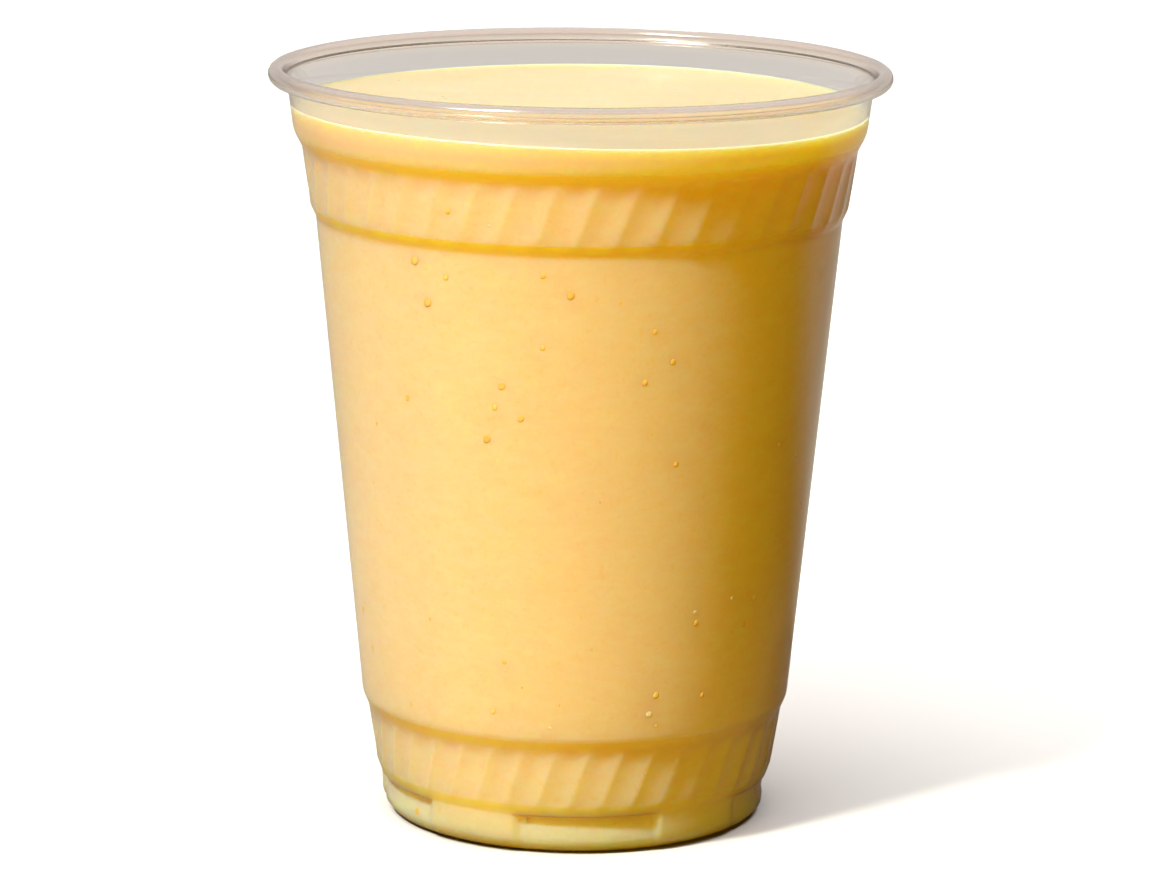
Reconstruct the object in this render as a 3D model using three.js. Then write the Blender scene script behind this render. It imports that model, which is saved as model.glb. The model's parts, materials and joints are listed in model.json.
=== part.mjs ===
// A mango smoothie in a clear, ribbed take-away cup.
// Units are millimetres and +Z is up. The origin is the middle of the base, on the table.
// Azimuths are in degrees seen from above: 0 is the front, at -Y, and 90 is the right, at +X.
import * as THREE from "three";

// The cup's overall sizes.
const RIM_RADIUS = 49;
const CUP_HEIGHT = 119.8;
const WALL = 0.6;
const FILL_GAP = 0.3;

// The base: a raised middle inside a flat rest ring, and an elliptical corner up to the foot.
const RAISED_RADIUS = 22.5;
const RAISED_HEIGHT = 1.6;
const REST_INNER_RADIUS = 24.6;
const REST_OUTER_RADIUS = 27.3;
const CORNER_WIDTH = 3.5;
const CORNER_HEIGHT = 2.4;
const STEP_LEAN = 0.3;
const CORNER_TILTS = [30, 60, 90];

// The foot, with pockets between its stacking lugs.
const FOOT_TOP_RADIUS = 31.05;
const POCKET_COUNT = 5;
const POCKET_DEPTH = 1.2;
const POCKET_WIDTH = 42;
const POCKET_EDGE = 2.5;
const POCKET_MIDDLE = 4.1;
const POCKET_CEILING = 0.15;

// Each section of the wall starts at a crease, swells outward over its rounding and then runs straight.
// Its steps are the heights above the crease at which its shape is followed.
const SECTIONS = {
  lowerBand: { bottom: 6.3, top: 17.2, flare: 0.147, swell: 0.5, rounding: 4, steps: [1.6, 4, 9.7] },
  body: { bottom: 17.2, top: 96.2, flare: 0.0972, swell: 0.72, rounding: 4.5, steps: [1.2, 2.6, 4.5] },
  upperBand: { bottom: 96.2, top: 107.3, flare: 0.134, swell: 0.7, rounding: 4.5, steps: [1.6, 4, 9.9] },
  collar: { bottom: 107.3, top: 115.2, flare: 0.13, swell: 1.0, rounding: 3.9, steps: [1, 2.2] },
};

// The slanted flutes of the two bands: shallow scallops that meet in sharp ridges.
// One ridge is at ridgeAzimuth halfway up, and slant is how many degrees a ridge turns in each millimetre.
const FLUTES = {
  lowerBand: { count: 40, depth: 0.3, ridgeAzimuth: 0.9, slant: 0.6 },
  upperBand: { count: 44, depth: 0.3, ridgeAzimuth: 1.1, slant: 0.5 },
};

// The rolled rim: a round bead, with a flare under it and a throat inside it.
const BEAD_RADIUS = 1.3;
const BEAD_START = -75;
const BEAD_END = 180;
const BEAD_STEPS = 6;
const FLARE_LEAD = new THREE.Vector2(0.3, 0.8);
const THROAT_LEAD = new THREE.Vector2(0, -1.2);
const JOIN_STEPS = 3;

// The drink's level at the wall, which leans and twists a little, and the low swirls of its top.
const LEVEL = 113.3;
const LEVEL_LEAN = 0.5;
const LEVEL_LEAN_AZIMUTH = -130;
const LEVEL_TWIST = 0.3;
const LEVEL_TWIST_AZIMUTH = -40;
const SWIRL_HEIGHT = 0.25;
const SWIRL_TURN = 150;
const TOP_RING_SHARES = [1, 0.8, 0.5, 0.2];

// How many points each kind of ring has.
const BASE_POINTS = 40;
const PLAIN_POINTS = 56;

const radians = THREE.MathUtils.degToRad;

// The place in the part's frame of a point at an azimuth, a radius and a height.
function place(azimuth, radius, height) {
  const a = radians(azimuth);
  return [radius * Math.sin(a), -radius * Math.cos(a), height];
}

function evenAzimuths(count) {
  return Array.from({ length: count }, (_, i) => (360 * i) / count);
}

// One ring of a surface. The radius and the height may each depend on the azimuth.
function ring(azimuths, radiusAt, heightAt) {
  return azimuths.map((azimuth) => ({
    azimuth,
    point: place(azimuth, radiusAt(azimuth), heightAt(azimuth)),
  }));
}

// The radius of a section of the wall at a height, for a section that starts at a given radius.
function sectionRadius(section, startRadius, height) {
  const climbed = height - section.bottom;
  const left = Math.max(0, 1 - climbed / section.rounding);
  return startRadius + section.flare * climbed + section.swell * (1 - left * left);
}

const startRadius = {};
let creaseRadius = FOOT_TOP_RADIUS;
for (const [name, section] of Object.entries(SECTIONS)) {
  startRadius[name] = creaseRadius;
  creaseRadius = sectionRadius(section, creaseRadius, section.top);
}
const neckRadius = creaseRadius;

// Where a pocket's slanted edge starts and ends, in degrees from the pocket's middle.
// A skin that lies inside the outer one passes the edge on its far side, at its own distance.
function pocketEdge(inset) {
  const middle = POCKET_WIDTH / 2 + THREE.MathUtils.radToDeg(inset / FOOT_TOP_RADIUS);
  return { inside: middle - POCKET_EDGE / 2, outside: middle + POCKET_EDGE / 2 };
}

// How far a pocket of the foot is cut in at an azimuth, from 0 on a lug to 1 in the pocket.
function pocketShare(azimuth, inset) {
  const pitch = 360 / POCKET_COUNT;
  const turned = azimuth - POCKET_MIDDLE;
  const fromMiddle = Math.abs(turned - pitch * Math.round(turned / pitch));
  const share = (pocketEdge(inset).outside - fromMiddle) / POCKET_EDGE;
  return THREE.MathUtils.clamp(share, 0, 1);
}

// The pocket deepens from nothing at the rest ring to its full depth under the ledge.
function pocketDepth(azimuth, height, inset) {
  const rise = THREE.MathUtils.clamp(height / SECTIONS.lowerBand.bottom, 0, 1);
  return POCKET_DEPTH * rise * pocketShare(azimuth, inset);
}

// The azimuths of the foot's rings: both ends of each pocket's edges, and a few between.
function footAzimuths(inset) {
  const { inside, outside } = pocketEdge(inset);
  const pitch = 360 / POCKET_COUNT;
  const lugStep = (pitch - 2 * outside) / 3;
  const pattern = [-outside, -inside, -inside / 2, 0, inside / 2, inside, outside];
  pattern.push(outside + lugStep, outside + 2 * lugStep);
  const azimuths = [];
  for (let i = 0; i < POCKET_COUNT; i += 1) {
    azimuths.push(...pattern.map((step) => POCKET_MIDDLE + i * pitch + step));
  }
  return azimuths;
}

// A ridge and a valley for each flute, turned by the slant at a height.
function fluteAzimuths(flutes, section, height) {
  const turn = flutes.slant * (height - (section.bottom + section.top) / 2);
  return evenAzimuths(2 * flutes.count).map((step) => flutes.ridgeAzimuth + turn + step);
}

// The rings of the base, from the middle out to the foot. inset is how far inside the outer skin they lie.
function baseRings(inset) {
  const azimuths = evenAzimuths(BASE_POINTS);
  const flat = [
    [RAISED_RADIUS + STEP_LEAN * inset, RAISED_HEIGHT + inset],
    [REST_INNER_RADIUS + STEP_LEAN * inset, inset],
    [REST_OUTER_RADIUS, inset],
  ];
  const rings = flat.map(([radius, height]) => ring(azimuths, () => radius, () => height));
  for (const tilt of CORNER_TILTS) {
    const radius = REST_OUTER_RADIUS + (CORNER_WIDTH - inset) * Math.sin(radians(tilt));
    const height = CORNER_HEIGHT - (CORNER_HEIGHT - inset) * Math.cos(radians(tilt));
    const radiusAt = (a) => radius - pocketDepth(a, height, inset);
    rings.push(ring(footAzimuths(inset), radiusAt, () => height));
  }
  return rings;
}

// The foot's top edge, and just above it the edge of the ledge that roofs the pockets.
function ledgeRings(inset) {
  const azimuths = footAzimuths(inset);
  const height = SECTIONS.lowerBand.bottom + inset;
  const radius = FOOT_TOP_RADIUS - inset;
  return [
    ring(azimuths, (a) => radius - pocketDepth(a, height, inset), () => height - POCKET_CEILING),
    ring(azimuths, () => radius, () => height),
  ];
}

// The rings of one plain section above its crease.
function plainRings(name, inset) {
  const section = SECTIONS[name];
  return section.steps.map((step) => {
    const height = section.bottom + step;
    const radius = sectionRadius(section, startRadius[name], height) - inset;
    return ring(evenAzimuths(PLAIN_POINTS), () => radius, () => height);
  });
}

// The rings of a fluted band. Its flutes fade out at the creases above and below it.
function flutedRings(name, inset) {
  const section = SECTIONS[name];
  const flutes = FLUTES[name];
  return section.steps.map((step) => {
    const height = section.bottom + step;
    const ridge = sectionRadius(section, startRadius[name], height) - inset;
    return fluteAzimuths(flutes, section, height).map((azimuth, i) => ({
      azimuth,
      point: place(azimuth, ridge - flutes.depth * (i % 2), height),
    }));
  });
}

// A ring that lies in the crease under a section.
function creaseRing(name, inset) {
  const radius = startRadius[name] - inset;
  return ring(evenAzimuths(PLAIN_POINTS), () => radius, () => SECTIONS[name].bottom);
}

// The whole wall from the base to the collar's top, or to the drink's level, as rings from the bottom up.
function wallRings(inset, topRing) {
  return [
    ...baseRings(inset),
    ...ledgeRings(inset),
    ...flutedRings("lowerBand", inset),
    creaseRing("body", inset),
    ...plainRings("body", inset),
    creaseRing("upperBand", inset),
    ...flutedRings("upperBand", inset),
    creaseRing("collar", inset),
    ...plainRings("collar", inset),
    topRing,
  ];
}

// The collar's top edge, on either face of the wall.
function neckRing(inset) {
  const height = SECTIONS.collar.top;
  return ring(evenAzimuths(PLAIN_POINTS), () => neckRadius - inset, () => height);
}

// The bead and the two curves that join it to the wall, as rings from the outer neck over to the inner one.
function rimRings() {
  const middle = new THREE.Vector2(RIM_RADIUS - BEAD_RADIUS, CUP_HEIGHT - BEAD_RADIUS);
  const onBead = (degrees) =>
    new THREE.Vector2(
      middle.x + BEAD_RADIUS * Math.cos(radians(degrees)),
      middle.y + BEAD_RADIUS * Math.sin(radians(degrees)),
    );
  const neck = (inset) => new THREE.Vector2(neckRadius - inset, SECTIONS.collar.top);
  const flare = new THREE.QuadraticBezierCurve(
    neck(0),
    neck(0).add(FLARE_LEAD),
    onBead(BEAD_START),
  );
  const throat = new THREE.QuadraticBezierCurve(
    onBead(BEAD_END),
    onBead(BEAD_END).add(THROAT_LEAD),
    neck(WALL),
  );
  const outline = flare.getPoints(JOIN_STEPS).slice(1);
  for (let i = 1; i <= BEAD_STEPS; i += 1) {
    outline.push(onBead(BEAD_START + ((BEAD_END - BEAD_START) * i) / BEAD_STEPS));
  }
  outline.push(...throat.getPoints(JOIN_STEPS).slice(1, -1));
  const azimuths = evenAzimuths(PLAIN_POINTS);
  return outline.map((p) => ring(azimuths, () => p.x, () => p.y));
}

// The drink's surface: leaning and twisted at the wall, and swirled a little inside it.
function drinkLevel(azimuth, share) {
  const lean = LEVEL_LEAN * Math.cos(radians(azimuth - LEVEL_LEAN_AZIMUTH));
  const twist = LEVEL_TWIST * Math.cos(radians(2 * (azimuth - LEVEL_TWIST_AZIMUTH)));
  const swirl = Math.sin(radians(azimuth + SWIRL_TURN * share)) * Math.sin(Math.PI * share);
  return LEVEL + share * lean + share * share * twist + SWIRL_HEIGHT * swirl;
}

// The drink's top, as rings from the wall in to the middle.
function drinkTopRings(inset) {
  const collar = SECTIONS.collar;
  const azimuths = evenAzimuths(PLAIN_POINTS);
  const wallAt = (a) => sectionRadius(collar, startRadius.collar, drinkLevel(a, 1)) - inset;
  return TOP_RING_SHARES.map((share) =>
    ring(azimuths, (a) => share * wallAt(a), (a) => drinkLevel(a, share)),
  );
}

// The triangles between two rings that may have different azimuths. Both rings are walked
// round together, and each step closes a triangle on the ring whose next point comes first.
function stitch(lower, upper, triangles) {
  const turned = (points) => {
    const wrap = (a) => ((a % 360) + 360) % 360;
    return points
      .map((p) => ({ azimuth: wrap(p.azimuth), point: p.point }))
      .sort((p, q) => p.azimuth - q.azimuth);
  };
  const below = turned(lower);
  const above = turned(upper);
  let i = 0;
  let j = 0;
  const at = (points, n) => points[n % points.length];
  const azimuthAt = (points, n) => at(points, n).azimuth + 360 * Math.floor(n / points.length);
  while (i < below.length || j < above.length) {
    const stepBelow =
      j >= above.length || (i < below.length && azimuthAt(below, i + 1) <= azimuthAt(above, j + 1));
    if (stepBelow) {
      triangles.push(at(below, i).point, at(below, i + 1).point, at(above, j).point);
      i += 1;
    } else {
      triangles.push(at(below, i).point, at(above, j + 1).point, at(above, j).point);
      j += 1;
    }
  }
}

// A fan from a ring to a point on the axis.
function fan(points, tip, facesUp, triangles) {
  points.forEach((p, i) => {
    const next = points[(i + 1) % points.length];
    if (facesUp) {
      triangles.push(p.point, next.point, tip);
    } else {
      triangles.push(next.point, p.point, tip);
    }
  });
}

// A closed body from rings that run from a point on the axis to another point on the axis.
function bodyOfRings(firstTip, rings, lastTip) {
  const triangles = [];
  fan(rings[0], firstTip, false, triangles);
  for (let i = 0; i + 1 < rings.length; i += 1) {
    stitch(rings[i], rings[i + 1], triangles);
  }
  fan(rings[rings.length - 1], lastTip, true, triangles);
  const geometry = new THREE.BufferGeometry();
  geometry.setAttribute("position", new THREE.Float32BufferAttribute(triangles.flat(), 3));
  geometry.computeVertexNormals();
  return geometry;
}

// The cup: its outer skin up to the rim, and its inner skin back down to the floor.
function cup() {
  const rings = [
    ...wallRings(0, neckRing(0)),
    ...rimRings(),
    ...wallRings(WALL, neckRing(WALL)).reverse(),
  ];
  const geometry = bodyOfRings([0, 0, RAISED_HEIGHT], rings, [0, 0, RAISED_HEIGHT + WALL]);
  const plastic = new THREE.MeshStandardMaterial({
    color: new THREE.Color(0.93, 0.9, 0.88),
    roughness: 0.06,
    metalness: 0,
    transparent: true,
    opacity: 0.3,
  });
  const mesh = new THREE.Mesh(geometry, plastic);
  mesh.name = "cup";
  return mesh;
}

// The drink: it fills the cup, a hair clear of its inner skin, up to its own uneven level.
function smoothie() {
  const inset = WALL + FILL_GAP;
  const [edge, ...top] = drinkTopRings(inset);
  const rings = [...wallRings(inset, edge), ...top];
  const middle = [0, 0, drinkLevel(0, 0)];
  const geometry = bodyOfRings([0, 0, RAISED_HEIGHT + inset], rings, middle);
  const blend = new THREE.MeshStandardMaterial({
    color: new THREE.Color(0.97, 0.76, 0.38),
    roughness: 0.45,
    metalness: 0,
  });
  const mesh = new THREE.Mesh(geometry, blend);
  mesh.name = "smoothie";
  return mesh;
}

const filledCup = new THREE.Group();
filledCup.add(cup(), smoothie());

export default filledCup;
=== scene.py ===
"""Looks of a mango smoothie in its clear take-away cup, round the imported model.

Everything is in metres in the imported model's frame: +Z is up along the cup's axis, -Y is the front
and +X is the right. An azimuth is 0 at the front and grows towards the right.
"""
import json
import logging
import math
import random
from dataclasses import dataclass
from enum import Enum
from typing import Callable, Iterable

import bmesh
import bpy
from mathutils import Euler, Matrix, Vector, noise

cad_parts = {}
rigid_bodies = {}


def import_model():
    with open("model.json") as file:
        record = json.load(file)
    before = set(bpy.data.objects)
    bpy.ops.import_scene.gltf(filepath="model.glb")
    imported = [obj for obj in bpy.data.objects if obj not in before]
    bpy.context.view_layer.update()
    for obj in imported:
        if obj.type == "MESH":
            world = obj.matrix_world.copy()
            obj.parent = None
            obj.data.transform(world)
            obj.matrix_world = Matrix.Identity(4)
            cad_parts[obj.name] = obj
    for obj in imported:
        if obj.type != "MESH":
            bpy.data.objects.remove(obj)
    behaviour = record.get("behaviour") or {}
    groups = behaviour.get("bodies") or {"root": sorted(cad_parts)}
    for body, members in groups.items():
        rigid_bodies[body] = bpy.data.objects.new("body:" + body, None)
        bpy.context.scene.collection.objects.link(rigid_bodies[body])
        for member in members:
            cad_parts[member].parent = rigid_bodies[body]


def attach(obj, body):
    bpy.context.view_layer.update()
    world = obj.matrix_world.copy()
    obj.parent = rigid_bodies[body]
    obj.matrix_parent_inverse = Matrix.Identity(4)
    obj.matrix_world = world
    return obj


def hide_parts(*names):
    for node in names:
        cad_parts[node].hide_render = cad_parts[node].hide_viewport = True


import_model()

MM = 0.001
FULL_TURN = 2 * math.pi
BODY = "root"
RAY_START = 100 * MM
LOG = logging.getLogger("smoothie")

Rgb = tuple[float, float, float]


class Slot(Enum):
    """The record's material slots."""

    CUP = "cup_plastic"
    DRINK = "smoothie"


def around(azimuth: float, radius: float, height: float) -> Vector:
    """Gives the place at an azimuth round the cup's axis.

    Args:
        azimuth: Angle from the front towards the right, in radians.
        radius: Distance from the axis.
        height: Height over the table.

    Returns:
        The place in the model's frame.
    """
    return Vector((radius * math.sin(azimuth), -radius * math.cos(azimuth), height))


def azimuth_of(place: Vector) -> float:
    """Gives the azimuth of a place, in radians."""
    return math.atan2(place.x, -place.y)


def smooth_step(share: float) -> float:
    """Eases a share from 0 to 1, and holds it inside that range."""
    held = min(1.0, max(0.0, share))
    return held * held * (3.0 - 2.0 * held)


def spaced(start: float, end: float, step: float) -> list[float]:
    """Gives evenly spaced values after start, up to and with end.

    Args:
        start: The value before the first one.
        end: The last value.
        step: The widest gap between two values.

    Returns:
        The values in order.
    """
    count = max(1, math.ceil((end - start) / step - 1e-6))
    return [start + (end - start) * k / count for k in range(1, count + 1)]


class Bench:
    """The hand moves that the pieces are modelled with."""

    WELD = 0.01 * MM
    KEY_DIGITS = 8

    @staticmethod
    def clear() -> None:
        """Leaves edit mode and deselects everything."""
        if bpy.context.object is not None and bpy.context.object.mode != "OBJECT":
            bpy.ops.object.mode_set(mode="OBJECT")
        bpy.ops.object.select_all(action="DESELECT")

    @staticmethod
    def pick(*pieces: bpy.types.Object) -> None:
        """Selects only these objects and makes the first one active."""
        Bench.clear()
        for piece in pieces:
            piece.select_set(True)
        bpy.context.view_layer.objects.active = pieces[0]

    @staticmethod
    def edit(piece: bpy.types.Object) -> None:
        """Opens an object in edit mode with all of it selected."""
        Bench.pick(piece)
        bpy.ops.object.mode_set(mode="EDIT")
        bpy.ops.mesh.select_all(action="SELECT")

    @staticmethod
    def close() -> None:
        """Goes back to object mode."""
        bpy.ops.object.mode_set(mode="OBJECT")

    @staticmethod
    def outline(name: str, points: Iterable[tuple[float, float]]) -> bpy.types.Object:
        """Draws an open outline at azimuth 0 by extruding a point.

        Args:
            name: Name of the new object.
            points: Radius and height of each corner, in order.

        Returns:
            The new object, with edges only.
        """
        corners = list(points)
        Bench.clear()
        bpy.ops.mesh.primitive_plane_add(size=MM, location=(0.0, 0.0, 0.0))
        piece = bpy.context.object
        piece.name = name
        bpy.ops.object.mode_set(mode="EDIT")
        bpy.ops.mesh.select_all(action="SELECT")
        bpy.ops.mesh.merge(type="CENTER")
        bpy.ops.transform.translate(value=around(0.0, *corners[0]))
        for last, corner in zip(corners, corners[1:]):
            step = around(0.0, *corner) - around(0.0, *last)
            bpy.ops.mesh.extrude_vertices_move(TRANSFORM_OT_translate={"value": step})
        Bench.close()
        return piece

    @staticmethod
    def spin(piece: bpy.types.Object, angle: float, steps: int) -> None:
        """Sweeps an outline round the cup's axis towards the right.

        Args:
            piece: The outline's object.
            angle: How far it goes, in radians.
            steps: Number of columns it makes.
        """
        Bench.edit(piece)
        bpy.ops.mesh.spin(steps=steps, angle=-angle, center=(0, 0, 0), axis=(0, 0, 1))
        bpy.ops.mesh.select_all(action="SELECT")
        bpy.ops.mesh.remove_doubles(threshold=Bench.WELD)
        Bench.close()

    @staticmethod
    def repeat(piece: bpy.types.Object, count: int) -> None:
        """Copies a sector of the cup round its axis until the ring is full.

        Args:
            piece: The sector's object.
            count: Number of sectors in the ring.
        """
        Bench.edit(piece)
        angle = -FULL_TURN * (count - 1) / count
        bpy.ops.mesh.spin(steps=count - 1, angle=angle, dupli=True, center=(0, 0, 0), axis=(0, 0, 1))
        bpy.ops.mesh.select_all(action="SELECT")
        bpy.ops.mesh.remove_doubles(threshold=Bench.WELD)
        Bench.close()

    @staticmethod
    def choose(mesh: bmesh.types.BMesh, chosen: Iterable[bmesh.types.BMVert]) -> None:
        """Selects only these corners of a mesh in edit mode."""
        for corner in mesh.verts:
            corner.select = False
        for corner in chosen:
            corner.select = True
        mesh.select_flush_mode()

    @staticmethod
    def grouped(piece: bpy.types.Object, key: Callable[[Vector], tuple | None],
                act: Callable[[tuple], None]) -> None:
        """Runs one operator on each group of corners that share a key.

        Args:
            piece: The object to shape.
            key: Gives a corner's group, or None to leave it alone.
            act: Runs the operator for a group's key on what is selected.
        """
        Bench.edit(piece)
        bpy.ops.mesh.select_mode(type="VERT")
        mesh = bmesh.from_edit_mesh(piece.data)
        groups: dict[tuple, list[int]] = {}
        for corner in mesh.verts:
            name = key(corner.co)
            if name is not None:
                groups.setdefault(name, []).append(corner.index)
        for name, members in groups.items():
            mesh = bmesh.from_edit_mesh(piece.data)
            mesh.verts.ensure_lookup_table()
            Bench.choose(mesh, [mesh.verts[k] for k in members])
            bmesh.update_edit_mesh(piece.data, loop_triangles=False, destructive=False)
            act(name)
        Bench.close()

    @staticmethod
    def carve(piece: bpy.types.Object, depth: Callable[[float, float], float]) -> None:
        """Pushes a wall in towards the axis, row by row.

        Args:
            piece: The wall's object.
            depth: Gives how far to push at an azimuth and a height.
        """
        def key(place: Vector) -> tuple | None:
            """Groups the corners of a row that go in by the same depth."""
            push = depth(azimuth_of(place), place.z)
            radius = math.hypot(place.x, place.y)
            if push < Bench.WELD / 10:
                return None
            return tuple(round(value, Bench.KEY_DIGITS) for value in (place.z, radius, push))

        def act(group: tuple) -> None:
            """Shrinks the group towards the axis."""
            share = 1.0 - group[2] / group[1]
            bpy.ops.transform.resize(value=(share, share, 1.0), center_override=(0.0, 0.0, 0.0))

        Bench.grouped(piece, key, act)

    @staticmethod
    def twist(piece: bpy.types.Object, turn: Callable[[float], float]) -> None:
        """Turns each row round the cup's axis.

        Args:
            piece: The wall's object.
            turn: Gives the angle towards the right at a height, in radians.
        """
        def key(place: Vector) -> tuple:
            """Groups the corners by row."""
            return (round(place.z, Bench.KEY_DIGITS),)

        def act(group: tuple) -> None:
            """Turns the row."""
            angle = -turn(group[0])
            bpy.ops.transform.rotate(value=angle, orient_axis="Z", center_override=(0.0, 0.0, 0.0))

        Bench.grouped(piece, key, act)

    @staticmethod
    def join(name: str, pieces: list[bpy.types.Object]) -> bpy.types.Object:
        """Joins objects and welds the corners that meet.

        Args:
            name: Name of the joined object.
            pieces: The objects to join.

        Returns:
            The joined object.
        """
        Bench.pick(*pieces)
        if len(pieces) > 1:
            bpy.ops.object.join()
        joined = bpy.context.view_layer.objects.active
        joined.name = name
        joined.data.name = name
        Bench.edit(joined)
        bpy.ops.mesh.remove_doubles(threshold=Bench.WELD)
        Bench.close()
        return joined

    @staticmethod
    def outward(piece: bpy.types.Object) -> None:
        """Turns all faces to point out."""
        Bench.edit(piece)
        bpy.ops.mesh.normals_make_consistent(inside=False)
        Bench.close()

    @staticmethod
    def outward_wall(piece: bpy.types.Object, height: float) -> None:
        """Turns the faces of an open sheet round the axis to point out at a height.

        Args:
            piece: The sheet's object.
            height: A height where the sheet is one plain wall.
        """
        Bench.outward(piece)
        face = min(piece.data.polygons, key=lambda side: abs(side.center.z - height))
        if face.normal.x * face.center.x + face.normal.y * face.center.y < 0.0:
            Bench.edit(piece)
            bpy.ops.mesh.flip_normals()
            Bench.close()

    @staticmethod
    def copy(piece: bpy.types.Object, name: str) -> bpy.types.Object:
        """Copies an object with a mesh of its own."""
        Bench.pick(piece)
        bpy.ops.object.duplicate()
        twin = bpy.context.object
        twin.name = name
        twin.data.name = name
        return twin

    @staticmethod
    def smooth(piece: bpy.types.Object, angle: float) -> None:
        """Shades an object smooth up to an angle between faces, in radians."""
        Bench.pick(piece)
        bpy.ops.object.shade_smooth_by_angle(angle=angle)

    @staticmethod
    def place(piece: bpy.types.Object) -> None:
        """Puts an object's place, turn and scale into its mesh."""
        Bench.pick(piece)
        bpy.ops.object.transform_apply(location=True, rotation=True, scale=True)


@dataclass(frozen=True)
class Section:
    """One step of the wall: it leans out over its ledge, bends, and flares on from there."""

    bottom: float
    top: float
    flare: float
    swell: float
    ledge: float = 1.7 * MM
    bend: float = 1.0 * MM

    def radius(self, start: float, height: float) -> float:
        """Gives the wall's outer radius.

        Args:
            start: Radius at the section's bottom.
            height: Height over the table.

        Returns:
            The radius at that height.
        """
        climbed = height - self.bottom
        lean = self.swell / (self.ledge + self.bend / 2)
        bent = min(self.bend, max(0.0, climbed - self.ledge))
        out = lean * (min(climbed, self.ledge) + bent - bent * bent / (2 * self.bend))
        return start + self.flare * climbed + out

    def middle(self) -> float:
        """Gives the height of the section's middle."""
        return (self.bottom + self.top) / 2

    def heights(self, fine: float, coarse: float, last: float) -> list[float]:
        """Gives the heights of the rows, closer together where the wall bends.

        Args:
            fine: Gap between rows in the rounding.
            coarse: Gap between rows above it.
            last: Height of the fine rows at the top.

        Returns:
            The heights, with both ends.
        """
        bend_start = self.bottom + self.ledge
        bend_end = bend_start + self.bend
        rows = [self.bottom, self.bottom + 0.2 * MM] + spaced(self.bottom + 0.2 * MM, bend_start, fine)
        rows += spaced(bend_start, bend_end, self.bend / 3)
        rows += spaced(bend_end, self.top - last, coarse)
        return rows + spaced(self.top - last, self.top, last / 2)


@dataclass(frozen=True)
class Flutes:
    """A band of shallow slanted flutes with a ridge between each two."""

    count: int
    depth: float
    ridge: float
    slant: float
    fade: float = 1.0 * MM

    def pitch(self) -> float:
        """Gives the angle from ridge to ridge."""
        return FULL_TURN / self.count

    def turn(self, section: Section, height: float) -> float:
        """Gives the azimuth of a ridge at a height."""
        return self.ridge + self.slant * (height - section.middle())

    def cut(self, section: Section, azimuth: float, height: float) -> float:
        """Gives a flute's depth before it is slanted.

        Args:
            section: The section of the wall that the band covers.
            azimuth: Angle from a ridge, in radians.
            height: Height over the table.

        Returns:
            How far the wall goes in.
        """
        across = (azimuth / self.pitch()) % 1.0
        hollow = 1.0 - (2.0 * across - 1.0) ** 2
        ends = min(height - section.bottom - section.ledge + self.fade / 2, section.top - height)
        return self.depth * hollow * smooth_step(ends / self.fade)


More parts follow.
